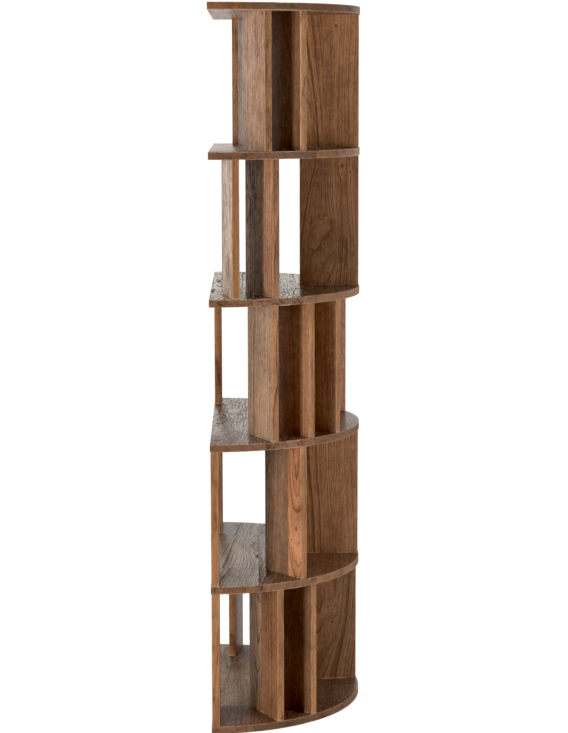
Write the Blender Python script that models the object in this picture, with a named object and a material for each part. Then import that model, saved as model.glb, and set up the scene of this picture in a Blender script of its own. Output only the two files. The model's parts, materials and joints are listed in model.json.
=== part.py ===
"""Half-round open bookcase of reclaimed wood.

Six half-disc shelves, each glued up from three planks, are held apart by upright
boards that stand on radial lines. The back plank of every shelf but the top one is
three lengths, butted end to end. Each upright has stub tenons that seat in stopped
mortises in the shelf below and the shelf above. The flat back goes against a wall.

Lengths are in metres. +Z is up, -Y is the round front and +Y the flat back, and the
origin is on the floor in the middle of the bookcase. Left and right are those of
someone who faces the front.
"""

import math
from collections import namedtuple

import bmesh
import bpy
from mathutils import Matrix

# Shelves
SHELF_RADIUS = 0.450
SHELF_THICKNESS = 0.022
BAY_HEIGHT = 0.395  # clear height between two shelves

# Each shelf, from the floor up. Seams are its glue lines along the back, as shares of the
# depth from the flat back, and butts the joints across its back plank, as shares of the
# radius from the middle. A back plank with butts has a wood for each length, from the
# left. The other two planks have one wood each.
Shelf = namedtuple("Shelf", "seams butts back middle front")
SHELVES = (
    Shelf(
        seams=(0.27, 0.64),
        butts=(-0.55, 0.53),
        back=("shelf_brown", "grey", "shelf_brown"),
        middle="honey",
        front="shelf_brown",
    ),
    Shelf(
        seams=(0.31, 0.63),
        butts=(-0.47, 0.54),
        back=("grey", "grey", "shelf_brown"),
        middle="shelf_brown",
        front="honey",
    ),
    Shelf(
        seams=(0.36, 0.68),
        butts=(-0.47, 0.47),
        back=("shelf_brown", "shelf_brown", "grey"),
        middle="honey",
        front="shelf_brown",
    ),
    Shelf(
        seams=(0.28, 0.60),
        butts=(-0.52, 0.44),
        back=("honey", "shelf_brown", "grey"),
        middle="shelf_brown",
        front="grey",
    ),
    Shelf(
        seams=(0.35, 0.69),
        butts=(-0.44, 0.50),
        back=("shelf_brown", "grey", "shelf_brown"),
        middle="shelf_brown",
        front="grey",
    ),
    Shelf(
        seams=(0.21, 0.59),
        butts=(),
        back=("red",),
        middle="shelf_brown",
        front="shelf_brown",
    ),
)

# Upright boards
UPRIGHT_THICKNESS = 0.022
RIM_SETBACK = 0.003  # from the shelf's rim to an upright's outer edge
BACK_SETBACK = 0.0015  # from the flat back to a board that stands along it

# Widths that the upright boards are cut to
SLIM_WIDTH = 0.140
NARROW_WIDTH = 0.166
STANDARD_WIDTH = 0.172
WIDE_WIDTH = 0.178
BROAD_WIDTH = 0.183

# Joints
TENON_THICKNESS = 0.012
TENON_WIDTH = 0.040
TENON_LENGTH = 0.008
TWIN_TENON_WIDTH = 0.140  # a board at least this wide has two tenons at each end
MORTISE_CLEARANCE = 0.0003  # on each side of a tenon
MORTISE_RELIEF = 0.0005  # beyond the end of a tenon
GLUE_LINE = 0.0003  # between two planks, and between an upright and a shelf

# Edges
ARRIS = 0.0018  # radius to which the open edges are sanded
ARRIS_SEGMENTS = 2
ARRIS_PROFILE = 0.5  # the profile value of a round arris
ARC_STEP = math.radians(3)
SMOOTH_ANGLE = math.radians(30)

# Each upright board of a bay, with its place, its angle from the left end of the flat
# back round the front to the right end, its width and its wood. A board glued up from
# two planks also has its inner plank's share of the width, and that plank's wood.
Upright = namedtuple(
    "Upright", "place angle width tone inner_share inner_tone", defaults=(None, None)
)

# From the floor up
BAYS = (
    (
        Upright("left_end", 0, STANDARD_WIDTH, "honey"),
        Upright("left", 27, BROAD_WIDTH, "honey", 0.43, "grey"),
        Upright("left_front", 42.5, WIDE_WIDTH, "brown"),
        Upright("front", 97, WIDE_WIDTH, "brown"),
        Upright("right", 150, STANDARD_WIDTH, "brown"),
        Upright("right_end", 170, SLIM_WIDTH, "red"),
    ),
    (
        Upright("left_end", 0, STANDARD_WIDTH, "honey"),
        Upright("left", 37.5, STANDARD_WIDTH, "honey", 0.65, "brown"),
        Upright("front", 89, WIDE_WIDTH, "brown"),
        Upright("right", 134, STANDARD_WIDTH, "brown"),
        Upright("right_end", 180, BROAD_WIDTH, "red"),
    ),
    (
        Upright("left", 25, NARROW_WIDTH, "grey"),
        Upright("left_front", 41.5, WIDE_WIDTH, "honey"),
        Upright("front", 57.5, WIDE_WIDTH, "brown"),
        Upright("right_front", 112.5, STANDARD_WIDTH, "red"),
        Upright("right", 150, STANDARD_WIDTH, "brown"),
        Upright("right_end", 180, SLIM_WIDTH, "red"),
    ),
    (
        Upright("left_end", 10, STANDARD_WIDTH, "honey"),
        Upright("left", 25.5, BROAD_WIDTH, "honey", 0.67, "dark"),
        Upright("front", 86, WIDE_WIDTH, "brown"),
        Upright("right", 154, STANDARD_WIDTH, "brown"),
        Upright("right_end", 172, STANDARD_WIDTH, "brown"),
    ),
    (
        Upright("left", 22.5, NARROW_WIDTH, "honey"),
        Upright("left_front", 37.5, WIDE_WIDTH, "brown"),
        Upright("front", 85, WIDE_WIDTH, "brown", 0.39, "brown"),
        Upright("right", 140, STANDARD_WIDTH, "brown"),
        Upright("right_end", 165, NARROW_WIDTH, "brown"),
    ),
)

# Linear colour and roughness of each wood
TONES = {
    "honey": ((0.33, 0.15, 0.058), 0.45),
    "brown": ((0.19, 0.085, 0.036), 0.45),
    "shelf_brown": ((0.22, 0.105, 0.048), 0.42),
    "red": ((0.23, 0.072, 0.032), 0.45),
    "grey": ((0.30, 0.18, 0.10), 0.50),
    "dark": ((0.062, 0.039, 0.027), 0.55),
}

SHELF_PITCH = BAY_HEIGHT + SHELF_THICKNESS
HALF_DEPTH = SHELF_RADIUS / 2
LENGTH_NAMES = ("back_left", "back_middle", "back_right")
CUT_OVERRUN = 0.002  # how far a cutter stands out of the face that it cuts


def make_material(tone):
    colour, roughness = TONES[tone]
    material = bpy.data.materials.new(tone + "_wood")
    material.use_nodes = True
    shader = material.node_tree.nodes["Principled BSDF"]
    shader.inputs["Base Color"].default_value = (*colour, 1.0)
    shader.inputs["Roughness"].default_value = roughness
    shader.inputs["Metallic"].default_value = 0.0
    return material


def add_object(name, bm, material=None):
    """Turns a bmesh into an object. Without a material it is a helper, left out of the model."""
    bmesh.ops.recalc_face_normals(bm, faces=bm.faces)
    mesh = bpy.data.meshes.new(name)
    bm.to_mesh(mesh)
    bm.free()
    mesh.shade_smooth()
    mesh.set_sharp_from_angle(angle=SMOOTH_ANGLE)
    obj = bpy.data.objects.new(name, mesh)
    bpy.context.scene.collection.objects.link(obj)
    if material:
        mesh.materials.append(material)
    else:
        obj.hide_render = True
        obj.display_type = "WIRE"
    return obj


def add_boolean(obj, operation, other):
    modifier = obj.modifiers.new(operation.lower(), "BOOLEAN")
    modifier.operation = operation
    modifier.object = other
    modifier.solver = "EXACT"


def add_prism(bm, outline, low, high):
    """A prism on a plan outline that runs anticlockwise. Returns its lower and upper points."""
    lower = [bm.verts.new((x, y, low)) for x, y in outline]
    upper = [bm.verts.new((x, y, high)) for x, y in outline]
    bm.faces.new(reversed(lower))
    bm.faces.new(upper)
    for i in range(len(outline)):
        j = (i + 1) % len(outline)
        bm.faces.new((lower[i], lower[j], upper[j], upper[i]))
    return lower, upper


def rectangle(x_low, x_high, y_low, y_high):
    return [(x_low, y_low), (x_high, y_low), (x_high, y_high), (x_low, y_high)]


def round_over(bm, edges):
    bmesh.ops.bevel(
        bm,
        geom=edges,
        affect="EDGES",
        offset_type="OFFSET",
        offset=ARRIS,
        segments=ARRIS_SEGMENTS,
        profile=ARRIS_PROFILE,
        clamp_overlap=True,
    )


def arc(start, end):
    """Plan points of the shelf's rim between two angles from +X."""
    steps = max(1, math.ceil(abs(end - start) / ARC_STEP))
    angles = [start + (end - start) * i / steps for i in range(steps + 1)]
    return [
        (SHELF_RADIUS * math.cos(a), HALF_DEPTH + SHELF_RADIUS * math.sin(a))
        for a in angles
    ]


def plank_outline(near, far):
    """Outline of the slice of the half disc between two distances from the flat back,
    and the numbers of the outline's open sides, which aren't glued to another plank."""
    start = math.asin(near / SHELF_RADIUS)
    if far is None:
        rim = arc(start - math.pi, -start)
        return rim, range(len(rim) - 1)
    end = math.asin(far / SHELF_RADIUS)
    left = arc(start - math.pi, end - math.pi)
    right = arc(-end, -start)
    sides = [*range(len(left) - 1), *range(len(left), len(left) + len(right) - 1)]
    if near == 0:
        sides.append(len(left) + len(right) - 1)
    return left + right, sides


def board_ends(board):
    """Distances of a board's inner and outer edge from the centre of the half disc."""
    outer = SHELF_RADIUS - RIM_SETBACK
    return outer - board.width, outer


def board_planks(board):
    """Name, wood, inner and outer edge of each plank in an upright board."""
    inner, outer = board_ends(board)
    if board.inner_share is None:
        return [("", board.tone, inner, outer)]
    seam = inner + board.inner_share * board.width
    return [
        ("_inner_plank", board.inner_tone, inner, seam - GLUE_LINE / 2),
        ("_outer_plank", board.tone, seam + GLUE_LINE / 2, outer),
    ]


def tenon_spans(inner, outer):
    """Where the tenons lie along a plank, from its inner to its outer edge."""
    count = 2 if outer - inner >= TWIN_TENON_WIDTH else 1
    share = (outer - inner) / count
    middles = [inner + share * (i + 0.5) for i in range(count)]
    return [(m - TENON_WIDTH / 2, m + TENON_WIDTH / 2) for m in middles]


def board_middle(board):
    """Offset of a board's middle plane from its radial line: a board that stands along
    the flat back lies wholly in front of it."""
    flush = UPRIGHT_THICKNESS / 2 + BACK_SETBACK
    return {0: flush, 180: -flush}.get(board.angle, 0.0)


def board_turn(board):
    return math.pi + math.radians(board.angle)


def mortise_cutter(shelf):
    """The mortises of one shelf: those of the bay above, cut from the top face, and
    those of the bay below, cut from the underside."""
    underside = shelf * SHELF_PITCH
    top = underside + SHELF_THICKNESS
    depth = TENON_LENGTH + MORTISE_RELIEF
    bays = []
    if shelf < len(BAYS):
        bays.append((BAYS[shelf], top - depth, top + CUT_OVERRUN))
    if shelf > 0:
        bays.append((BAYS[shelf - 1], underside - CUT_OVERRUN, underside + depth))
    bm = bmesh.new()
    half = TENON_THICKNESS / 2 + MORTISE_CLEARANCE
    for boards, low, high in bays:
        for board in boards:
            middle = board_middle(board)
            place = Matrix.Translation((0, HALF_DEPTH, 0)) @ Matrix.Rotation(
                board_turn(board), 4, "Z"
            )
            for _, _, inner, outer in board_planks(board):
                for start, end in tenon_spans(inner, outer):
                    outline = rectangle(
                        start - MORTISE_CLEARANCE,
                        end + MORTISE_CLEARANCE,
                        middle - half,
                        middle + half,
                    )
                    lower, upper = add_prism(bm, outline, low, high)
                    bmesh.ops.transform(bm, matrix=place, verts=lower + upper)
    return add_object(f"shelf_{shelf + 1}_mortises", bm)


def add_plank(name, near, far, underside, material):
    """A shelf plank between two distances from the flat back, with its open edges sanded."""
    outline, sides = plank_outline(near, far)
    bm = bmesh.new()
    lower, upper = add_prism(bm, outline, underside, underside + SHELF_THICKNESS)
    edges = []
    for i in sides:
        j = (i + 1) % len(outline)
        edges.append(bm.edges.get((lower[i], lower[j])))
        edges.append(bm.edges.get((upper[i], upper[j])))
    if near == 0:
        corners = (sides[-1], 0)
        edges.extend(bm.edges.get((lower[i], upper[i])) for i in corners)
    round_over(bm, edges)
    return add_object(name, bm, material)


def add_section(name, left, right, underside):
    """A helper block round one length of a back plank."""
    bm = bmesh.new()
    outline = rectangle(left, right, -SHELF_RADIUS, SHELF_RADIUS)
    top = underside + SHELF_THICKNESS + CUT_OVERRUN
    add_prism(bm, outline, underside - CUT_OVERRUN, top)
    return add_object(name, bm)


def shelf_planks(design):
    """Name, wood, near and far distance from the flat back, and left and right end of each
    plank. The ends are None on a plank that runs from rim to rim."""
    first, second = (share * SHELF_RADIUS for share in design.seams)
    joints = [share * SHELF_RADIUS for share in design.butts]
    half_line = GLUE_LINE / 2
    planks = [
        ("middle", design.middle, first + half_line, second - half_line, None),
        ("front", design.front, second + half_line, None, None),
    ]
    if not joints:
        return [("back", design.back[0], 0, first - half_line, None), *planks]
    beyond = SHELF_RADIUS + CUT_OVERRUN
    lefts = [-beyond, *(joint + half_line for joint in joints)]
    rights = [*(joint - half_line for joint in joints), beyond]
    for name, tone, ends in zip(LENGTH_NAMES, design.back, zip(lefts, rights)):
        planks.append((name, tone, 0, first - half_line, ends))
    return planks


def make_shelf(shelf, materials):
    underside = shelf * SHELF_PITCH
    cutter = mortise_cutter(shelf)
    for name, tone, near, far, ends in shelf_planks(SHELVES[shelf]):
        plank_name = f"shelf_{shelf + 1}_{name}_plank"
        plank = add_plank(plank_name, near, far, underside, materials[tone])
        if ends:
            section = add_section(plank_name + "_section", *ends, underside)
            add_boolean(plank, "INTERSECT", section)
        add_boolean(plank, "DIFFERENCE", cutter)


def make_upright(bay, board, materials):
    name = f"bay_{bay + 1}_{board.place}_upright"
    inner, outer = board_ends(board)
    middle = board_middle(board)
    low = GLUE_LINE
    high = BAY_HEIGHT - GLUE_LINE
    for suffix, tone, start, end in board_planks(board):
        bm = bmesh.new()
        face_low = middle - UPRIGHT_THICKNESS / 2
        face_high = middle + UPRIGHT_THICKNESS / 2
        outline = rectangle(start, end, face_low, face_high)
        lower, upper = add_prism(bm, outline, low, high)
        open_corners = [i for i, (x, _) in enumerate(outline) if x in (inner, outer)]
        round_over(bm, [bm.edges.get((lower[i], upper[i])) for i in open_corners])
        obj = add_object(name + suffix, bm, materials[tone])

        bm = bmesh.new()
        for tenon_start, tenon_end in tenon_spans(start, end):
            tenon = rectangle(
                tenon_start,
                tenon_end,
                middle - TENON_THICKNESS / 2,
                middle + TENON_THICKNESS / 2,
            )
            add_prism(bm, tenon, -TENON_LENGTH, BAY_HEIGHT + TENON_LENGTH)
        tenons = add_object(name + suffix + "_tenons", bm)
        add_boolean(obj, "UNION", tenons)
        for part in (obj, tenons):
            part.location = (0, HALF_DEPTH, bay * SHELF_PITCH + SHELF_THICKNESS)
            part.rotation_euler = (0, 0, board_turn(board))


def main():
    for obj in list(bpy.data.objects):
        bpy.data.objects.remove(obj)
    materials = {tone: make_material(tone) for tone in TONES}
    for shelf in range(len(BAYS) + 1):
        make_shelf(shelf, materials)
    for bay, boards in enumerate(BAYS):
        for board in boards:
            make_upright(bay, board, materials)


main()
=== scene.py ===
"""Looks of the half-round bookcase: camera, studio, and the reclaimed wood of every board.

Lengths are in metres and colours are linear. A board's own axes are X across its width, Y
through its thickness and Z along its grain. An upright's X points to the rim and its Z up.
A shelf plank's X points to the flat back, its Y up, and its Z along the wall.
"""

import json
import math
from typing import NamedTuple

import bmesh
import bpy
from mathutils import Matrix, Vector

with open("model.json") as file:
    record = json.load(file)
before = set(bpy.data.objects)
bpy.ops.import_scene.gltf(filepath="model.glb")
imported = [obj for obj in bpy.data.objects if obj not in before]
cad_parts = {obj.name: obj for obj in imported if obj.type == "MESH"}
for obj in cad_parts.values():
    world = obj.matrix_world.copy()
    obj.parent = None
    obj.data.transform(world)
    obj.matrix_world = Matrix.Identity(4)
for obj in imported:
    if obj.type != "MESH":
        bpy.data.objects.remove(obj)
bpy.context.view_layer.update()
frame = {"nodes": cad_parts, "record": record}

NODES = frame["nodes"]
SLOT_OF = {part["node"]: part["material_slot"] for part in frame["record"]["subparts"]}

# Sizes of the bookcase
SHELF_RADIUS = 0.450
BACK_Y = SHELF_RADIUS / 2
TENON_LENGTH = 0.008
ARRIS = 0.0018  # radius to which the boards' open edges are sanded

# Camera, fitted to the shelves' outlines in the photograph
CAMERA_PLACE = Vector((-6.2669, 0.1013, 1.8764))
CAMERA_YAW = math.radians(-0.88045)
CAMERA_PITCH = math.radians(-7.77657)
CAMERA_ROLL = math.radians(-0.11680)
CAMERA_CLIP_END = 200
FOCAL_LENGTH_PIXELS = 2060.79
IMAGE_HEIGHT_PIXELS = 733
SENSOR_SIZE_MM = 36.0

# Studio. The far side is away from the camera and, by a share, towards the wall.
WHITE_BACKGROUND = 1.15
STUDIO_COLOUR = (1.0, 0.955, 0.90, 1)
CAMERA_SIDE_LIGHT = 0.02
FAR_SIDE_LIGHT = 1.0
CAMERA_SIDE_TO_FAR_SIDE = (-0.7, 0.5)
WALL_SHARE = 0.6
AT_HORIZON = 1.45
OVERHEAD = 0.75
HORIZON_TO_OVERHEAD = (0.0, 0.5)
BLACK_POINT = 0.008
SOFTBOXES = {
    "left_softbox": ((-3.9, 3.0, 1.0), 200),
    "right_softbox": ((-2.4, -3.8, 1.0), 172),
}
SOFTBOX_AIM = (0, 0, 1.05)
SOFTBOX_SIZE = (0.9, 2.8)
SOFTBOX_COLOUR = (1.0, 0.98, 0.96)

# Floor. It glows all round the bookcase, but not under the lowest shelf.
FLOOR_COLOUR = (0.45, 0.45, 0.45, 1)
FLOOR_ROUGHNESS = 0.9
FLOOR_SEEN_GLOW = 0.80
FLOOR_LIGHT = 0.15
FLOOR_RADIUS = 30
FLOOR_SEGMENTS = 96
FLOOR_BELOW_SHELF = 0.0005
GLOW_UNDER_SHELF = 0.005

# Angle of each upright from the left end of the flat back, round the front to the right end
UPRIGHT_ANGLES = {
    "bay_1": {
        "left_end": 0, "left": 27, "left_front": 42.5, "front": 97, "right": 150, "right_end": 170
    },
    "bay_2": {"left_end": 0, "left": 37.5, "front": 89, "right": 134, "right_end": 180},
    "bay_3": {
        "left": 25, "left_front": 41.5, "front": 57.5, "right_front": 112.5, "right": 150,
        "right_end": 180
    },
    "bay_4": {"left_end": 10, "left": 25.5, "front": 86, "right": 154, "right_end": 172},
    "bay_5": {"left": 22.5, "left_front": 37.5, "front": 85, "right": 140, "right_end": 165},
}

# Early and late wood of each tone, and the pale and deep colours of sawn sides and old skins
TONES = {
    "honey_wood": ((0.430, 0.202, 0.094), (0.120, 0.045, 0.018)),
    "brown_wood": ((0.360, 0.175, 0.084), (0.110, 0.047, 0.021)),
    "shelf_brown_wood": ((0.300, 0.143, 0.072), (0.055, 0.024, 0.013)),
    "red_wood": ((0.290, 0.105, 0.045), (0.080, 0.024, 0.009)),
    "grey_wood": ((0.380, 0.225, 0.130), (0.100, 0.050, 0.025)),
    "dark_wood": ((0.150, 0.090, 0.055), (0.025, 0.014, 0.008)),
}
EDGE_TONE = ((0.350, 0.165, 0.072), (0.075, 0.028, 0.009))
RIM_TONE = ((0.228, 0.117, 0.066), (0.040, 0.020, 0.012))
GREY_SKIN = ((0.400, 0.305, 0.240), (0.060, 0.038, 0.025))
# Pale skin: partly an old weathered skin, partly a painted sheen, made pale to match faces that
# catch the white studio's sheen
PALE_SKIN_AND_SHEEN = ((0.760, 0.600, 0.480), (0.280, 0.195, 0.140))
DARK_SKIN = ((0.780, 0.450, 0.260), (0.065, 0.036, 0.022))
SOOT = (0.45, 0.38, 0.34, 1)  # what a knot's own wood is multiplied by
CRACK = (0.050, 0.030, 0.018, 1)
# Pale colour on the sanded edges: partly rubbed pale, partly a painted highlight
ARRIS_WEAR_AND_HIGHLIGHT_COLOUR = (0.450, 0.270, 0.150, 1)
# Pale colour in patches along an upright's foot
PALE_FOOT_COLOUR = (0.460, 0.340, 0.250, 1)


class Look(NamedTuple):
    """How a board looks. The rings are shells round the pith, the middle of the log. They show
    as arches on a board sawn beside the pith, and as stripes on one sawn towards it."""

    shade: float = 1.0  # brightness against the board's tone
    pith: tuple = (0.015, 0.085)  # where the pith passes the board's middle, in X and Y
    lean: tuple = (0.015, 0.05)  # how far the pith drifts in X and Y for each metre of Z
    taper: float = 0.0  # share by which the rings get narrower for each metre of Z
    ring: float = 0.0065  # width of a ring
    bend: float = 0.030  # how far the rings wander
    contrast: float = 0.70  # how dark the lines of late wood are
    # With the pale skin, this share also paints a sheen on the faces
    weathered: float = 0.10  # how much of an old skin is left on the faces
    skin: tuple = GREY_SKIN
    cracked: float = 1.0  # how dark the cracks are
    lacquer: float = 0.08  # how glossy the faces are
    sides: float = 1.0  # brightness of the sawn sides, or of a shelf's rim
    # how pale the edges are: partly rubbed pale, partly a painted highlight
    worn: float = 0.6  # how pale the edges are
    knots: tuple = ()  # X, Z and radius of each, and 1 if its own wood shows or else 0


FLAT = Look()
ARCHED = FLAT._replace(pith=(0.02, 0.09), lean=(0.02, 0.07), ring=0.0085)
STRIPED = FLAT._replace(pith=(0.24, 0.03), lean=(0.01, 0.04), ring=0.0055, contrast=0.55)
RIFT = FLAT._replace(pith=(-0.11, 0.09), ring=0.0050)
SHELF = FLAT._replace(
    pith=(0.05, -0.08), lean=(0.01, 0.03), bend=0.02, weathered=0.35, lacquer=0.6
)

# For the uprights that hardly show in the photograph, which have no look of their own
PLAIN_LOOKS = (STRIPED, ARCHED, RIFT, FLAT)

LOOKS = {
    "bay_1_left_end_upright": STRIPED._replace(sides=0.97),
    "bay_1_left_upright_inner_plank": ARCHED._replace(
        shade=1.50, pith=(0.02, 0.05), lean=(0.02, -0.045), ring=0.0042, contrast=0.95,
        weathered=0.40
    ),
    "bay_1_left_upright_outer_plank": STRIPED._replace(shade=0.80, contrast=0.7),
    "bay_1_left_front_upright": STRIPED._replace(shade=0.75, sides=1.3),
    "bay_1_front_upright": ARCHED._replace(
        shade=0.75, pith=(-0.02, 0.09), lean=(0.03, -0.07), ring=0.007, contrast=0.85,
        weathered=0.0,
        knots=((-0.015, -0.136, 0.003, 1), (0.013, -0.014, 0.004, 1), (0.006, 0.010, 0.012, 0))
    ),
    # Its face is made much paler, partly a painted sheen
    "bay_1_right_end_upright": STRIPED._replace(shade=2.3, lacquer=0.8, sides=0.75),
    "bay_2_left_end_upright": STRIPED._replace(sides=0.90),
    "bay_2_left_upright_inner_plank": STRIPED._replace(
        shade=0.80, contrast=0.8, weathered=0.3, knots=((-0.045, 0.105, 0.004, 1),)
    ),
    "bay_2_left_upright_outer_plank": ARCHED._replace(
        shade=1.45, pith=(0.01, 0.07), lean=(0.0, -0.07), ring=0.006, contrast=1.0,
        knots=((0.007, -0.05, 0.006, 1), (-0.013, -0.085, 0.003, 1))
    ),
    "bay_2_front_upright": RIFT._replace(shade=1.22, ring=0.0037, bend=0.02, contrast=1.15),
    "bay_3_left_upright": STRIPED._replace(
        shade=1.12, contrast=0.8, weathered=0.25, sides=1.12
    ),
    "bay_3_left_front_upright": RIFT._replace(shade=1.15),
    "bay_3_front_upright": RIFT._replace(shade=1.38),
    "bay_3_right_front_upright": STRIPED._replace(shade=1.25, weathered=0.35),
    # Its face is nearly all pale skin: partly an old skin, partly a painted sheen
    "bay_4_left_end_upright": STRIPED._replace(
        contrast=1.1, weathered=0.97, skin=PALE_SKIN_AND_SHEEN, cracked=0.6, lacquer=0.4, sides=0.76,
        knots=((-0.056, 0.167, 0.003, 1),)
    ),
    "bay_4_left_upright_inner_plank": STRIPED._replace(
        shade=2.8, ring=0.0045, contrast=1.8, weathered=0.55, skin=DARK_SKIN
    ),
    "bay_4_left_upright_outer_plank": STRIPED._replace(
        shade=1.15, ring=0.008, contrast=0.8, weathered=0.2, skin=PALE_SKIN_AND_SHEEN, sides=0.70
    ),
    "bay_4_front_upright": ARCHED._replace(
        shade=0.98, pith=(0.028, -0.004), lean=(0.0, 0.0), taper=1.7, ring=0.0068, bend=0.04,
        contrast=1.9,
        knots=((0.039, 0.165, 0.0045, 1), (0.064, 0.147, 0.0025, 1), (-0.016, -0.10, 0.021, 0))
    ),
    "bay_5_left_upright": STRIPED._replace(
        shade=0.80, contrast=0.6, weathered=0.30, skin=PALE_SKIN_AND_SHEEN, sides=0.91,
        knots=((0.065, 0.189, 0.005, 1),)
    ),
    # Its edges get a stronger painted highlight
    "bay_5_left_front_upright": STRIPED._replace(
        shade=0.70, lacquer=0.0, sides=1.05, worn=1.8
    ),
    "bay_5_front_upright_inner_plank": STRIPED._replace(
        shade=1.5, lean=(-0.10, 0.04), ring=0.011, contrast=1.2,
        knots=((-0.030, -0.12, 0.018, 1),)
    ),
    "bay_5_front_upright_outer_plank": STRIPED._replace(
        shade=1.3, ring=0.009, bend=0.015, contrast=0.85,
        knots=((-0.014, 0.163, 0.004, 1), (-0.017, 0.051, 0.0025, 1))
    ),
    # Its face is made paler with pale skin, partly a painted sheen
    "bay_5_right_end_upright": STRIPED._replace(
        shade=1.9, weathered=0.5, skin=PALE_SKIN_AND_SHEEN, lacquer=1.0, sides=0.53
    ),
}

# The lowest shelves are smooth, those higher up weathered
# The higher shelves are also made paler, which partly paints the sheen on their tops
SHELF_LOOKS = {
    "shelf_1": SHELF._replace(shade=0.80, contrast=0.38, weathered=0.15, lacquer=0.12),
    "shelf_2": SHELF._replace(
        shade=1.2, pith=(-0.07, -0.016), lean=(0.0, 0.0), taper=1.15, ring=0.0052, bend=0.05,
        contrast=2.7, weathered=0.35, lacquer=0.62
    ),
    "shelf_3": SHELF._replace(
        shade=1.3, ring=0.0042, bend=0.04, contrast=2.0, weathered=0.6, lacquer=0.78
    ),
    "shelf_4": SHELF._replace(
        shade=1.4, ring=0.0046, bend=0.04, contrast=2.0, weathered=1.0, lacquer=0.9
    ),
    "shelf_5": SHELF._replace(ring=0.0045),
    # The top shelf is made very pale, partly a painted reflection that brightens its underside
    "shelf_6": SHELF._replace(
        shade=2.4, ring=0.0045, weathered=1.0, skin=PALE_SKIN_AND_SHEEN, cracked=0.5, lacquer=1.0
    ),
}
DARK_PLANKS = {"shelf_1_middle_plank": 0.45}  # their shade
FRONT_PLANKS = {"shade": 0.75, "contrast": 0.35, "weathered": 0.18, "lacquer": 0.5}

# How bright the rim is on the planks of each shelf
PLANK_PLACES = ("back", "middle", "front")
SHELF_RIMS = {
    "shelf_1": (0.93, 0.54, 0.72),
    "shelf_2": (0.75, 0.88, 1.12),
    "shelf_3": (0.75, 0.89, 0.75),
    "shelf_4": (0.70, 1.06, 1.00),
    "shelf_5": (0.71, 0.57, 0.93),
    "shelf_6": (0.70, 0.39, 0.50),
}


class Noise(NamedTuple):
    """Noise from 0 to 1. Its cells are how many fit in a metre along X, Y and Z."""

    cells: tuple
    detail: float
    roughness: float = 0.5


class LineNoise(NamedTuple):
    """Noise from 0 to 1 along the count of rings."""

    cells_per_ring: float
    detail: float


# How the rings wander: at large by a look's bend, and in detail by a share of it
WANDER_CELLS = (6, 6, 2.4)
FINE_WANDER_CELLS = (38, 38, 12)
FINE_WANDER = 0.10
WANDER_DETAIL = 1.5

# Rings. Late wood is (place, darkness) from a ring's inner side at 0 to its outer side at 1.
RINGS_PER_SEED = 5.37
UNEVEN_RINGS = LineNoise(0.45, 1.0)
UNEVEN_BY_RINGS = 2.2
LATE_WOOD = ((0.0, 0.22), (0.06, 0.03), (0.60, 0.08), (0.85, 0.45), (0.94, 1.0), (1.0, 0.28))
EACH_RING = LineNoise(0.77, 0.0)
EACH_RING_EDGES = (0.38, 0.60)
RING_BANDS = LineNoise(0.21, 2.0)
RING_BAND_EDGES = (0.30, 0.70)
RING_TONES = LineNoise(0.8, 3.0)
LINE_STRENGTH = 0.25
LINE_STRENGTH_BY_RING = 0.60
LINE_STRENGTH_BY_BAND = 0.35
LINE_LOSS_BESIDE_KNOT = 0.7
DULL_LATE_EDGES = (0.5, 1.0)

# Marks in the wood. A pair of edges is how high the noise is where a mark sets in, and where
# it is whole. A crack is whole near the middle of its noise and gone farther from it.
STREAKS = Noise((150, 150, 3.5), 3.0, 0.6)
DASHES = Noise((330, 330, 16), 2.0, 0.6)
FIBRES = Noise((1100, 1100, 40), 1.0)
SPECK_DETAIL = 1.0
FIGURE = Noise((18, 18, 70), 2.0, 0.6)
BLOTCHES = Noise((9, 9, 5), 3.0, 0.55)
PORES = Noise((900, 900, 45), 1.0)
PORE_EDGES = (0.58, 0.70)
MOTTLES = Noise((34, 34, 12), 4.0, 0.65)
SKIN_EDGES = (0.30, 0.58)
FLECKS = Noise((330, 330, 26), 2.0)
FLECK_EDGES = (0.48, 0.62)
CRACKS = Noise((110, 110, 14), 3.0)
CRACK_EDGES = (0.010, 0.045)
CRACKED_AREAS = Noise((14, 14, 6), 2.0)
CRACKED_AREA_EDGES = (0.55, 0.72)
CRACKED_AREA_BY_WEATHER = 0.22
CRACK_DEPTH = 0.2
CRACK_DEPTH_BY_WEATHER = 0.8
# Patches along the sanded edges, partly rubbed pale and partly a painted highlight
ARRIS_WEAR_AND_HIGHLIGHT_NOISE = Noise((70, 70, 30), 3.0)
ARRIS_WEAR_AND_HIGHLIGHT_EDGES = (0.36, 0.62)
ARRIS_WEAR_AND_HIGHLIGHT_SHARES = (0.2, 0.8)
# Pale patches along an upright's foot
FOOT_PATCHES = Noise((30, 30, 1), 2.0)
FOOT_PATCH_EDGES = (0.47, 0.56)
FOOT_PATCH_SHARE = 0.6

# How dark the wood is, from 0 for early wood to 1 for late wood, and by how much each mark
# darkens, roughens, raises and dulls it
DARKNESS = 0.22
DARKNESS_BY_BAND = 0.05
DARKENS = {
    "streak": 0.42, "dash": 0.55, "fibre": 0.9, "speck": 0.55, "figure": 0.35, "blotch": 0.9
}
PORE_DARKENS = 0.22
SKIN_DARKNESS = 0.25
SKIN_DARKNESS_BY_WOOD = 1.1
SKIN_DARKNESS_BY_FLECK = -0.6
SIDE_MOTTLE = 1.5
SIDE_DARKNESS = 0.45
SIDE_SHARE = 0.85
KNOT_SHARE = 0.9
ROUGHNESS = 0.34
ROUGHENS = {"dark": 0.30, "pore": 0.15, "skin": 0.12, "crack": 0.3}
RAISES = {
    "late": 0.25, "streak": 0.7, "dash": 0.5, "fibre": 0.3, "pore": -0.6, "crack": -2.5,
    "skin": 0.3
}
DULLS = {"pore": 0.4, "crack": 1.0, "skin_fleck": -0.3}

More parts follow.
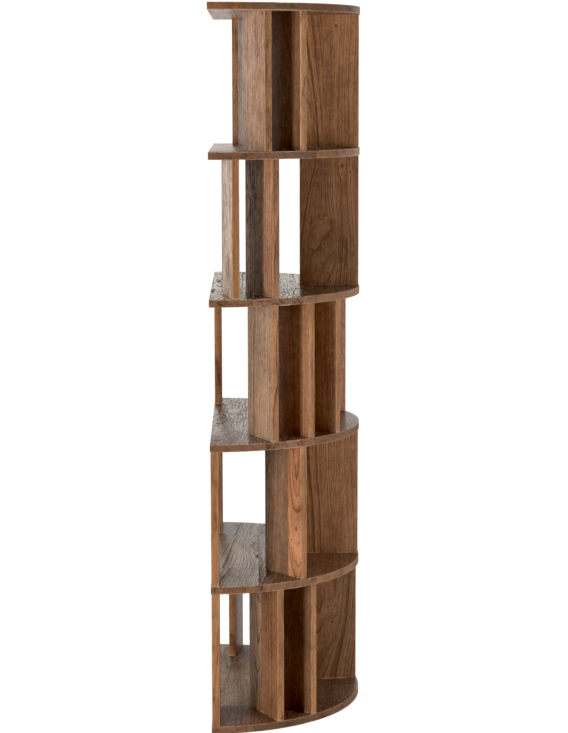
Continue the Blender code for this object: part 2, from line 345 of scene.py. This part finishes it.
# Knots. A shape is how much a length counts along X, Y and Z. So a knot is longer than it is
# wide, its lee, where the lines part round it, is four times as long as it is wide, and both
# go right through the board.
KNOT_WOBBLE_CELLS = (140, 140, 60)
KNOT_WOBBLE = 0.003
KNOT_SHAPE = (1, 0, 0.75)
KNOT_EDGES = (0.6, 1.25)
KNOT_RINGS = 16.0
KNOT_RING_DEPTH = 0.22
LEE_SHAPE = (1, 0, 0.25)
LEE_REACH = 2.4
LEE_MOST = 0.85
LEE_PLAIN_EDGES = (0.45, 0.85)

# What differs between shelf planks, whose sawn side is the rim, and uprights
SHELF_SPECK_CELLS = (200, 200, 28)
UPRIGHT_SPECK_CELLS = (230, 230, 110)
SHELF_SPECULAR = 0.16
UPRIGHT_SPECULAR = 0.2
SHELF_RING_TONES = 0.2
UPRIGHT_RING_TONES = 0.05
UPRIGHT_RING_TONES_BY_CONTRAST = 0.6
UPRIGHT_RING_TONES_MOST = 0.55
RIM_CONTRAST = 2.2
UPRIGHT_SIDE_CONTRAST = 0.6
RIM_LINES = 0.5
RIM_LINES_MOST = 0.35
RIM_CRACKS = 0.7

# Finish
FACE_DEPTH = 0.0015
FOOT_HEIGHT = 0.005
WOOD_IOR = 1.45
BUMP_STRENGTH = 0.8
BUMP_HEIGHT = 0.0005
COAT_ROUGHNESS = 0.22
TOP_SHELF_COAT_ROUGHNESS = 0.26

# Each board's own place in the noise
SEED_STEP = 0.731
SEED_LIMIT = 9.7
SEED_SHIFT = (7.13, 3.71, 11.93)

# Smooth shading
SHARP_ANGLE = math.radians(50)
SAME_CORNER = 1e-5


class Tree:
    """Writes shader nodes. A value given to a node is a number, a tuple or a node's output."""

    def __init__(self, tree):
        self.tree = tree

    def node(self, kind, inputs=None, **settings):
        node = self.tree.nodes.new(kind)
        for key, value in settings.items():
            setattr(node, key, value)
        for socket, value in (inputs or {}).items():
            self.feed(node.inputs[socket], value)
        return node

    def feed(self, socket, value):
        if isinstance(value, bpy.types.NodeSocket):
            self.tree.links.new(value, socket)
        else:
            socket.default_value = value

    def feed_all(self, sockets, values):
        for name, value in values.items():
            self.feed(sockets[name], value)

    def math(self, operation, *values, clamp=False):
        inputs = dict(enumerate(values))
        settings = {"operation": operation, "use_clamp": clamp}
        return self.node("ShaderNodeMath", inputs, **settings).outputs[0]

    def vector(self, operation, *values):
        inputs = dict(enumerate(values))
        return self.node("ShaderNodeVectorMath", inputs, operation=operation).outputs[0]

    def scaled(self, vector, scale):
        inputs = {"Vector": vector, "Scale": scale}
        return self.node("ShaderNodeVectorMath", inputs, operation="SCALE").outputs[0]

    def length(self, vector):
        return self.node("ShaderNodeVectorMath", {0: vector}, operation="LENGTH").outputs[1]

    def split(self, vector):
        return self.node("ShaderNodeSeparateXYZ", {0: vector}).outputs

    def noise(self, place, noise, colour=False):
        inputs = {"Vector": self.vector("MULTIPLY", place, noise.cells), "Scale": 1.0}
        inputs.update({"Detail": noise.detail, "Roughness": noise.roughness})
        return self.node("ShaderNodeTexNoise", inputs).outputs[1 if colour else 0]

    def line_noise(self, along, noise):
        inputs = {"W": along, "Scale": noise.cells_per_ring, "Detail": noise.detail}
        return self.node("ShaderNodeTexNoise", inputs, noise_dimensions="1D").outputs[0]

    def shake(self, place, cells, size):
        """A random offset of about a third of a size, which changes smoothly over space."""
        noise = self.noise(place, Noise(cells, WANDER_DETAIL), colour=True)
        return self.scaled(self.vector("SUBTRACT", noise, (0.5, 0.5, 0.5)), size)

    def step(self, value, low, high, start=0.0, end=1.0):
        """A smooth step from start at low to end at high."""
        inputs = {0: value, 1: low, 2: high, 3: start, 4: end}
        node = self.node("ShaderNodeMapRange", inputs, interpolation_type="SMOOTHSTEP")
        return node.outputs[0]

    def add_all(self, total, marks, gains):
        """Adds each mark times its gain to a total."""
        for name, gain in gains.items():
            total = self.math("MULTIPLY_ADD", marks[name], gain, total)
        return total

    def add_round_half(self, total, value, gain):
        """Adds a value round 0.5, times a gain, to a total."""
        return self.math("MULTIPLY_ADD", self.math("SUBTRACT", value, 0.5), gain, total)

    def mix(self, share, first, second, blend="MIX"):
        inputs = {0: share, 6: first, 7: second}
        node = self.node("ShaderNodeMix", inputs, data_type="RGBA", blend_type=blend)
        return node.outputs[2]

    def curve(self, value, points):
        """A curve through (place, height) points, both from 0 to 1."""
        node = self.node("ShaderNodeValToRGB", {0: value})
        ramp = node.color_ramp
        while len(ramp.elements) < len(points):
            ramp.elements.new(0.5)
        for element, (place, height) in zip(ramp.elements, points):
            element.position = place
            element.color = (height, height, height, 1)
        return node.outputs[0]


def make_group(name, given, made):
    """A shader node group with its tree writer, its given sockets and its output node's."""
    group = bpy.data.node_groups.new(name, "ShaderNodeTree")
    for sockets, in_out in ((given, "INPUT"), (made, "OUTPUT")):
        for socket, kind in sockets.items():
            group.interface.new_socket(socket, in_out=in_out, socket_type="NodeSocket" + kind)
    t = Tree(group)
    return group, t, t.node("NodeGroupInput").outputs, t.node("NodeGroupOutput").inputs


def make_knot_group():
    """A knot: how far aside the grain that flows round it lies, and where its own dark wood
    shows. Plain is 1 in its lee, where the grain parts and few lines show."""
    given = {"Place": "Vector", "Centre": "Vector", "Radius": "Float"}
    made = dict.fromkeys(("Shift", "Plain", "Core"), "Float")
    group, t, given, made = make_group("knot", given, made)
    place, radius = given["Place"], given["Radius"]
    apart = t.vector("SUBTRACT", place, given["Centre"])
    apart = t.vector("ADD", apart, t.shake(place, KNOT_WOBBLE_CELLS, KNOT_WOBBLE))

    near = t.math("DIVIDE", t.length(t.vector("MULTIPLY", apart, KNOT_SHAPE)), radius)
    rings = t.math("SINE", t.math("MULTIPLY", near, KNOT_RINGS))
    rings = t.math("MULTIPLY_ADD", rings, KNOT_RING_DEPTH, 1 - KNOT_RING_DEPTH)
    core = t.math("MULTIPLY", t.step(near, *KNOT_EDGES, 1.0, 0.0), rings)

    wide = t.math("DIVIDE", t.length(t.vector("MULTIPLY", apart, LEE_SHAPE)), radius)
    share = t.math("DIVIDE", LEE_REACH, t.math("MULTIPLY", wide, wide))
    share = t.math("MINIMUM", share, LEE_MOST)
    shift = t.math("MULTIPLY", t.math("MULTIPLY", t.split(apart)[0], -1.0), share)
    plain = t.step(share, *LEE_PLAIN_EDGES)
    t.feed_all(made, {"Shift": shift, "Plain": plain, "Core": core})
    return group


def count_rings(t, given, own):
    """How many rings lie between the pith and a place. The pith leans and the rings wander."""
    bend = given["Bend"]
    place = t.vector("ADD", given["Place"], t.shake(own, WANDER_CELLS, bend))
    fine = t.shake(own, FINE_WANDER_CELLS, t.math("MULTIPLY", bend, FINE_WANDER))
    x, y, z = t.split(t.vector("ADD", place, fine))
    pith_x, pith_y, _ = t.split(given["Pith"])
    lean_x, lean_y, _ = t.split(given["Lean"])
    x = t.math("ADD", x, given["Shift"])
    across = t.math("SUBTRACT", x, t.math("MULTIPLY_ADD", lean_x, z, pith_x))
    through = t.math("SUBTRACT", y, t.math("MULTIPLY_ADD", lean_y, z, pith_y))
    radius = t.math("MULTIPLY", through, through)
    radius = t.math("ADD", t.math("MULTIPLY", across, across), radius)
    radius = t.math("SQRT", radius)
    width = t.math("SUBTRACT", 1.0, t.math("MULTIPLY", z, given["Taper"]))
    width = t.math("MULTIPLY", given["Ring"], width)
    ring = t.math("DIVIDE", radius, width)
    ring = t.math("MULTIPLY_ADD", given["Seed"], RINGS_PER_SEED, ring)
    return t.math("MULTIPLY_ADD", t.line_noise(ring, UNEVEN_RINGS), UNEVEN_BY_RINGS, ring)


def draw_cracks(t, given, own):
    """Short cracks along the grain. A weathered board has more of them, and deeper ones."""
    old = given["Weathered"]
    crack = t.math("ABSOLUTE", t.math("SUBTRACT", t.noise(own, CRACKS), 0.5))
    crack = t.math("MULTIPLY", t.step(crack, *CRACK_EDGES, 1.0, 0.0), given["Cracked"])
    area = t.math("MULTIPLY_ADD", old, CRACKED_AREA_BY_WEATHER, t.noise(own, CRACKED_AREAS))
    crack = t.math("MULTIPLY", crack, t.step(area, *CRACKED_AREA_EDGES))
    depth = t.math("MULTIPLY_ADD", old, CRACK_DEPTH_BY_WEATHER, CRACK_DEPTH, clamp=True)
    return t.math("MULTIPLY", crack, depth)


def make_wood_group():
    """Sawn wood, its rings, marks, old skin and cracks, and pale edges, partly rubbed and partly
    a painted highlight.
    """
    given = dict.fromkeys(("Place", "Pith", "Lean", "Speck Cells"), "Vector")
    numbers = ("Seed", "Taper", "Ring", "Bend", "Contrast", "Ring Tone", "Side Contrast")
    numbers += ("Side Lines", "Weathered", "Shift", "Plain", "Core", "Face", "Cracked")
    given.update(dict.fromkeys((*numbers, "Arris", "Foot"), "Float"))
    colours = ("Pale", "Middle", "Deep", "Side Pale", "Side Deep", "Skin Pale", "Skin Deep")
    given.update(dict.fromkeys(colours, "Color"))
    made = {"Colour": "Color", "Roughness": "Float", "Gloss": "Float", "Height": "Float"}
    group, t, given, made = make_group("sawn_wood", given, made)
    own = t.vector("ADD", given["Place"], t.scaled(SEED_SHIFT, given["Seed"]))
    ring = count_rings(t, given, own)
    late = t.curve(t.math("FRACT", ring), LATE_WOOD)
    each = t.step(t.line_noise(t.math("FLOOR", ring), EACH_RING), *EACH_RING_EDGES)
    band = t.step(t.line_noise(ring, RING_BANDS), *RING_BAND_EDGES)

    marks = {
        "late": late,
        "streak": t.noise(own, STREAKS),
        "dash": t.noise(own, DASHES),
        "fibre": t.noise(own, FIBRES),
        "speck": t.noise(own, Noise(given["Speck Cells"], SPECK_DETAIL)),
        "figure": t.noise(own, FIGURE),
        "blotch": t.noise(own, BLOTCHES),
        "pore": t.step(t.noise(own, PORES), *PORE_EDGES),
        "crack": draw_cracks(t, given, own),
    }
    strength = t.math("MULTIPLY_ADD", band, LINE_STRENGTH_BY_BAND, LINE_STRENGTH)
    strength = t.math("MULTIPLY_ADD", each, LINE_STRENGTH_BY_RING, strength)
    beside_knot = t.math("MULTIPLY_ADD", given["Plain"], -LINE_LOSS_BESIDE_KNOT, 1.0)
    strength = t.math("MULTIPLY", strength, beside_knot)
    line = t.math("MULTIPLY", t.math("MULTIPLY", late, given["Contrast"]), strength)
    dark = t.math("MULTIPLY_ADD", band, DARKNESS_BY_BAND, line)
    dark = t.math("ADD", dark, DARKNESS)
    dark = t.add_round_half(dark, t.line_noise(ring, RING_TONES), given["Ring Tone"])
    for name, gain in DARKENS.items():
        dark = t.add_round_half(dark, marks[name], gain)
    dark = t.math("MULTIPLY_ADD", marks["pore"], PORE_DARKENS, dark)
    left_out = t.math("MULTIPLY", line, t.math("SUBTRACT", 1.0, given["Side Lines"]))
    side_dark = t.math("SUBTRACT", dark, left_out)
    dark = t.math("MAXIMUM", dark, 0.0, clamp=True)
    lighter = t.math("MULTIPLY", dark, 2.0, clamp=True)
    deeper = t.math("MULTIPLY_ADD", dark, 2.0, -1.0, clamp=True)
    colour = t.mix(deeper, t.mix(lighter, given["Pale"], given["Middle"]), given["Deep"])

    # Where the skin is the pale one, its colour partly paints a sheen
    mottle = t.noise(own, MOTTLES)
    skin = t.math("MULTIPLY", t.step(mottle, *SKIN_EDGES), given["Weathered"])
    skin = t.math("MULTIPLY", skin, given["Face"])
    fleck = t.step(t.noise(own, FLECKS), *FLECK_EDGES)
    skin_dark = t.math("MULTIPLY_ADD", fleck, SKIN_DARKNESS_BY_FLECK, SKIN_DARKNESS)
    skin_dark = t.math("MULTIPLY_ADD", dark, SKIN_DARKNESS_BY_WOOD, skin_dark, clamp=True)
    colour = t.mix(skin, colour, t.mix(skin_dark, given["Skin Pale"], given["Skin Deep"]))

    knot_colour = t.mix(1.0, given["Deep"], SOOT, "MULTIPLY")
    colour = t.mix(t.math("MULTIPLY", given["Core"], KNOT_SHARE), colour, knot_colour)

    side_contrast = given["Side Contrast"]
    side_dark = t.math("SUBTRACT", t.add_round_half(side_dark, mottle, SIDE_MOTTLE), 0.5)
    side_dark = t.math("MULTIPLY_ADD", side_dark, side_contrast, SIDE_DARKNESS, clamp=True)
    side_colour = t.mix(side_dark, given["Side Pale"], given["Side Deep"])
    side_share = t.math("MULTIPLY_ADD", given["Face"], -SIDE_SHARE, SIDE_SHARE)
    colour = t.mix(side_share, colour, side_colour)

    colour = t.mix(marks["crack"], colour, CRACK)
    # Sanded edges paler in patches: partly rubbed, partly a painted highlight
    wear_and_highlight = t.step(t.noise(own, ARRIS_WEAR_AND_HIGHLIGHT_NOISE), *ARRIS_WEAR_AND_HIGHLIGHT_EDGES, *ARRIS_WEAR_AND_HIGHLIGHT_SHARES)
    colour = t.mix(t.math("MULTIPLY", wear_and_highlight, given["Arris"]), colour, ARRIS_WEAR_AND_HIGHLIGHT_COLOUR)
    # Paler in patches along an upright's foot
    foot_patch = t.math("MULTIPLY", given["Foot"], t.step(t.noise(own, FOOT_PATCHES), *FOOT_PATCH_EDGES))
    colour = t.mix(t.math("MULTIPLY", foot_patch, FOOT_PATCH_SHARE), colour, PALE_FOOT_COLOUR)

    marks.update({"dark": dark, "skin": skin, "skin_fleck": t.math("MULTIPLY", fleck, skin)})
    dull = t.math("MULTIPLY", given["Contrast"], strength)
    dull = t.math("MULTIPLY", t.step(late, *DULL_LATE_EDGES), dull)
    dull = t.add_all(dull, marks, DULLS)
    gloss = t.math("MULTIPLY", given["Face"], t.math("SUBTRACT", 1.0, dull, clamp=True))
    rough = t.add_all(ROUGHNESS, marks, ROUGHENS)
    height = t.add_all(0.0, marks, RAISES)
    t.feed_all(made, {"Colour": colour, "Roughness": rough, "Gloss": gloss, "Height": height})
    return group


def upright_axes(node):
    """Width, thickness and grain axes of an upright board."""
    bay, place = node.split("_upright")[0].split("_", 2)[1:]
    turn = math.pi + math.radians(UPRIGHT_ANGLES["bay_" + bay][place])
    outwards = Vector((math.cos(turn), math.sin(turn), 0))
    up = Vector((0, 0, 1))
    return outwards, up.cross(outwards), up


def shelf_axes():
    """Width, thickness and grain axes of a shelf plank."""
    return Vector((0, 1, 0)), Vector((0, 0, 1)), Vector((1, 0, 0))


def board_frame(node, axes):
    """The middle of a board, and half its size along each of its axes."""
    points = [vertex.co for vertex in NODES[node].data.vertices]
    middle = Vector()
    halves = []
    for axis in axes:
        along = [axis.dot(point) for point in points]
        middle += (min(along) + max(along)) / 2 * axis
        halves.append((max(along) - min(along)) / 2)
    return middle, halves


def nearness(t, value, limit, reach):
    """1 where a value is at its limit, 0 where it is short of it by more than the reach."""
    return t.step(value, limit - reach, limit - reach / 3)


def board_areas(t, node, world, place, halves):
    """Where a board's faces, the sanded edges of its sawn side, and an upright's foot are."""
    from_middle = t.split(t.vector("ABSOLUTE", place))
    face = nearness(t, from_middle[1], halves[1], FACE_DEPTH)
    foot = 0.0
    if node.startswith("shelf"):
        from_centre = t.vector("SUBTRACT", world, (0, BACK_Y, 0))
        from_centre = t.length(t.vector("MULTIPLY", from_centre, (1, 1, 0)))
        side = nearness(t, from_centre, SHELF_RADIUS, 2 * ARRIS)
    else:
        x, _, z = t.split(place)
        outwards = from_middle[0]
        if node.endswith("_plank"):
            outwards = t.math("MULTIPLY", x, 1.0 if "outer" in node else -1.0)
        side = nearness(t, outwards, halves[0], 2 * ARRIS)
        foot = nearness(t, t.math("MULTIPLY", z, -1.0), halves[2] - TENON_LENGTH, FOOT_HEIGHT)
    arris = t.math("MULTIPLY", side, nearness(t, from_middle[1], halves[1], 2 * ARRIS))
    return face, arris, foot


def add_knots(t, place, knots, knot_group):
    """What all the knots of a board do to its lines, and where their own wood shows."""
    shift, plain, core = 0.0, 0.0, 0.0
    for knot_x, knot_z, radius, shown in knots:
        knot = t.node("ShaderNodeGroup", node_tree=knot_group)
        values = {"Place": place, "Centre": (knot_x, 0, knot_z), "Radius": radius}
        t.feed_all(knot.inputs, values)
        shift = t.math("ADD", shift, knot.outputs["Shift"])
        plain = t.math("MAXIMUM", plain, knot.outputs["Plain"])
        core = t.math("MAXIMUM", core, t.math("MULTIPLY", knot.outputs["Core"], shown))
    return {"Shift": shift, "Plain": plain, "Core": core}


def kind_values(t, look, shelf, face):
    """The wood group's inputs that differ between shelf planks and uprights."""
    if shelf:
        return {
            "Speck Cells": SHELF_SPECK_CELLS,
            "Ring Tone": SHELF_RING_TONES,
            "Side Contrast": RIM_CONTRAST,
            "Side Lines": min(RIM_LINES_MOST, RIM_LINES / look.contrast),
            "Cracked": t.math("MULTIPLY_ADD", face, 1 - RIM_CRACKS, RIM_CRACKS),
        }
    ring_tones = UPRIGHT_RING_TONES + UPRIGHT_RING_TONES_BY_CONTRAST * look.contrast
    return {
        "Speck Cells": UPRIGHT_SPECK_CELLS,
        "Ring Tone": min(ring_tones, UPRIGHT_RING_TONES_MOST),
        "Side Contrast": UPRIGHT_SIDE_CONTRAST / look.contrast,
        "Side Lines": 1.0,
        "Cracked": face,
    }


def colour_values(look, tone, side_tone):
    """The wood group's colours. The middle one lies between a tone's early and late wood."""
    pale, deep = (Vector(colour) * look.shade for colour in tone)
    side_pale, side_deep = (Vector(colour) * look.sides for colour in side_tone)
    colours = {
        "Pale": pale,
        "Middle": [math.sqrt(a * b) for a, b in zip(pale, deep)],
        "Deep": deep,
        "Side Pale": side_pale,
        "Side Deep": side_deep,
        "Skin Pale": look.skin[0],
        "Skin Deep": look.skin[1],
    }
    return {name: (*colour, 1) for name, colour in colours.items()}


def make_wood(node, look, seed, wood_group, knot_group):
    shelf = node.startswith("shelf")
    axes = shelf_axes() if shelf else upright_axes(node)
    middle, halves = board_frame(node, axes)
    material = bpy.data.materials.new(node)
    material.use_nodes = True
    t = Tree(material.node_tree)
    world = t.node("ShaderNodeTexCoord").outputs["Object"]
    turn = Matrix(axes).transposed().to_euler()
    inputs = {"Vector": world, "Location": middle, "Rotation": turn}
    place = t.node("ShaderNodeMapping", inputs, vector_type="TEXTURE").outputs[0]
    face, arris, foot = board_areas(t, node, world, place, halves)

    values = {
        "Place": place,
        "Seed": seed,
        "Pith": (*look.pith, 0),
        "Lean": (*look.lean, 0),
        "Taper": look.taper,
        "Ring": look.ring,
        "Bend": look.bend,
        "Contrast": look.contrast,
        "Weathered": look.weathered,
        "Face": face,
        "Arris": t.math("MULTIPLY", arris, look.worn),
        "Foot": foot,
    }
    values.update(add_knots(t, place, look.knots, knot_group))
    values.update(kind_values(t, look, shelf, face))
    values["Cracked"] = t.math("MULTIPLY", values["Cracked"], look.cracked)
    side_tone = RIM_TONE if shelf else EDGE_TONE
    values.update(colour_values(look, TONES[SLOT_OF[node]], side_tone))
    wood = t.node("ShaderNodeGroup", node_tree=wood_group)
    t.feed_all(wood.inputs, values)

    shader = material.node_tree.nodes["Principled BSDF"]
    inputs = {"Height": wood.outputs["Height"], "Strength": BUMP_STRENGTH}
    bump = t.node("ShaderNodeBump", {**inputs, "Distance": BUMP_HEIGHT}).outputs[0]
    top_shelf = node.startswith("shelf_6")
    values = {
        "Base Color": wood.outputs["Colour"],
        "Roughness": wood.outputs["Roughness"],
        "Normal": bump,
        "IOR": WOOD_IOR,
        "Specular IOR Level": SHELF_SPECULAR if shelf else UPRIGHT_SPECULAR,
        "Coat Roughness": TOP_SHELF_COAT_ROUGHNESS if top_shelf else COAT_ROUGHNESS,
        "Coat Normal": bump,
    }
    if look.lacquer:
        values["Coat Weight"] = t.math("MULTIPLY", wood.outputs["Gloss"], look.lacquer)
    t.feed_all(shader.inputs, values)
    return material


def smooth_by_angle():
    """Joins the split corners of a CAD node's mesh and smooths all but its sharp edges."""
    group = bpy.data.node_groups.new("smooth_by_angle", "GeometryNodeTree")
    for in_out in ("INPUT", "OUTPUT"):
        group.interface.new_socket("Geometry", in_out=in_out, socket_type="NodeSocketGeometry")
    t = Tree(group)
    mesh = t.node("NodeGroupInput").outputs[0]
    inputs = {"Geometry": mesh, "Distance": SAME_CORNER}
    mesh = t.node("GeometryNodeMergeByDistance", inputs).outputs[0]
    inputs = {"Geometry": mesh, "Shade Smooth": True}
    mesh = t.node("GeometryNodeSetShadeSmooth", inputs, domain="FACE").outputs[0]
    angle = t.node("GeometryNodeInputMeshEdgeAngle").outputs["Unsigned Angle"]
    settings = {"data_type": "FLOAT", "operation": "GREATER_THAN"}
    sharp = t.node("FunctionNodeCompare", {0: angle, 1: SHARP_ANGLE}, **settings).outputs[0]
    inputs = {"Geometry": mesh, "Selection": sharp, "Shade Smooth": False}
    mesh = t.node("GeometryNodeSetShadeSmooth", inputs, domain="EDGE").outputs[0]
    t.feed(t.node("NodeGroupOutput").inputs[0], mesh)
    return group


def make_camera():
    """The photograph's camera. It looks along +X, turned by its yaw, pitch and roll."""
    yaw, pitch, roll = CAMERA_YAW, CAMERA_PITCH, CAMERA_ROLL
    level = math.cos(pitch)
    ahead = Vector((level * math.cos(yaw), level * math.sin(yaw), math.sin(pitch)))
    level_right = Vector((math.sin(yaw), -math.cos(yaw), 0))
    level_up = level_right.cross(ahead)
    right = math.cos(roll) * level_right + math.sin(roll) * level_up
    up = math.cos(roll) * level_up - math.sin(roll) * level_right
    data = bpy.data.cameras.new("camera")
    data.sensor_width = SENSOR_SIZE_MM
    data.lens = FOCAL_LENGTH_PIXELS / IMAGE_HEIGHT_PIXELS * SENSOR_SIZE_MM
    data.clip_end = CAMERA_CLIP_END
    camera = bpy.data.objects.new("camera", data)
    bpy.context.scene.collection.objects.link(camera)
    turn = Matrix((right, up, -ahead)).transposed()
    camera.matrix_world = Matrix.Translation(CAMERA_PLACE) @ turn.to_4x4()
    bpy.context.scene.camera = camera


def for_camera(t, seen, otherwise):
    """One value where the camera sees a thing itself, another for the light that it gives."""
    is_seen = t.node("ShaderNodeLightPath").outputs["Is Camera Ray"]
    return t.node("ShaderNodeMix", {0: is_seen, 2: otherwise, 3: seen}).outputs[0]


def make_world():
    """A white studio. It shows white, and it lights the bookcase more from behind, from the
    wall's side and from low down than from where the camera stands."""
    world = bpy.data.worlds.new("studio")
    bpy.context.scene.world = world
    world.use_nodes = True
    t = Tree(world.node_tree)
    x, y, z = t.split(t.node("ShaderNodeTexCoord").outputs["Generated"])
    towards = t.math("MULTIPLY_ADD", y, WALL_SHARE, x)
    lights = (CAMERA_SIDE_LIGHT, FAR_SIDE_LIGHT)
    light = t.step(towards, *CAMERA_SIDE_TO_FAR_SIDE, *lights)
    height = t.step(z, *HORIZON_TO_OVERHEAD, AT_HORIZON, OVERHEAD)
    strength = for_camera(t, WHITE_BACKGROUND, t.math("MULTIPLY", light, height))
    background = world.node_tree.nodes["Background"]
    t.feed_all(background.inputs, {"Color": STUDIO_COLOUR, "Strength": strength})


def make_floor():
    bm = bmesh.new()
    bmesh.ops.create_circle(bm, cap_ends=True, segments=FLOOR_SEGMENTS, radius=FLOOR_RADIUS)
    mesh = bpy.data.meshes.new("floor")
    bm.to_mesh(mesh)
    bm.free()
    floor = bpy.data.objects.new("floor", mesh)
    floor.location.z = -FLOOR_BELOW_SHELF
    bpy.context.scene.collection.objects.link(floor)
    material = bpy.data.materials.new("floor")
    material.use_nodes = True
    t = Tree(material.node_tree)
    place = t.node("ShaderNodeTexCoord").outputs["Object"]
    away = t.length(t.vector("SUBTRACT", place, (0, BACK_Y, 0)))
    past_rim = t.math("GREATER_THAN", away, SHELF_RADIUS - GLOW_UNDER_SHELF)
    past_back = t.math("GREATER_THAN", t.split(place)[1], BACK_Y - GLOW_UNDER_SHELF)
    open_floor = t.math("MAXIMUM", past_rim, past_back)
    glow = for_camera(t, FLOOR_SEEN_GLOW, FLOOR_LIGHT)
    values = {
        "Base Color": FLOOR_COLOUR,
        "Roughness": FLOOR_ROUGHNESS,
        "Emission Color": (1, 1, 1, 1),
        "Emission Strength": t.math("MULTIPLY", glow, open_floor),
    }
    t.feed_all(material.node_tree.nodes["Principled BSDF"].inputs, values)
    mesh.materials.append(material)


def add_softbox(name, place, power):
    data = bpy.data.lights.new(name, "AREA")
    data.shape = "RECTANGLE"
    data.size, data.size_y = SOFTBOX_SIZE
    data.energy = power
    data.color = SOFTBOX_COLOUR
    light = bpy.data.objects.new(name, data)
    bpy.context.scene.collection.objects.link(light)
    light.location = place
    from_aim = Vector(place) - Vector(SOFTBOX_AIM)
    light.rotation_euler = from_aim.to_track_quat("Z", "Y").to_euler()
    light.visible_camera = False


def set_view():
    view = bpy.context.scene.view_settings
    view.view_transform = "Standard"
    view.use_curve_mapping = True
    view.curve_mapping.black_level = (BLACK_POINT, BLACK_POINT, BLACK_POINT)


def shelf_look(node):
    shelf, place = node[: len("shelf_N")], node.split("_")[2]
    rim = SHELF_RIMS[shelf][PLANK_PLACES.index(place)]
    look = SHELF_LOOKS[shelf]._replace(sides=rim)
    if node in DARK_PLANKS:
        look = look._replace(shade=DARK_PLANKS[node])
    return look._replace(**FRONT_PLANKS) if place == "front" else look


def dress_boards():
    """Gives each board its own wood, and smooth shading over its sanded edges."""
    wood_group, knot_group, smooth = make_wood_group(), make_knot_group(), smooth_by_angle()
    for i, node in enumerate(sorted(NODES)):
        if node.startswith("shelf"):
            look = shelf_look(node)
        else:
            look = LOOKS.get(node, PLAIN_LOOKS[i % len(PLAIN_LOOKS)])
        seed = i * SEED_STEP % SEED_LIMIT
        mesh = NODES[node].data
        mesh.materials.clear()
        mesh.materials.append(make_wood(node, look, seed, wood_group, knot_group))
        NODES[node].modifiers.new("smooth_by_angle", "NODES").node_group = smooth


make_camera()
make_world()
make_floor()
for name, (place, power) in SOFTBOXES.items():
    add_softbox(name, place, power)
set_view()
dress_boards()
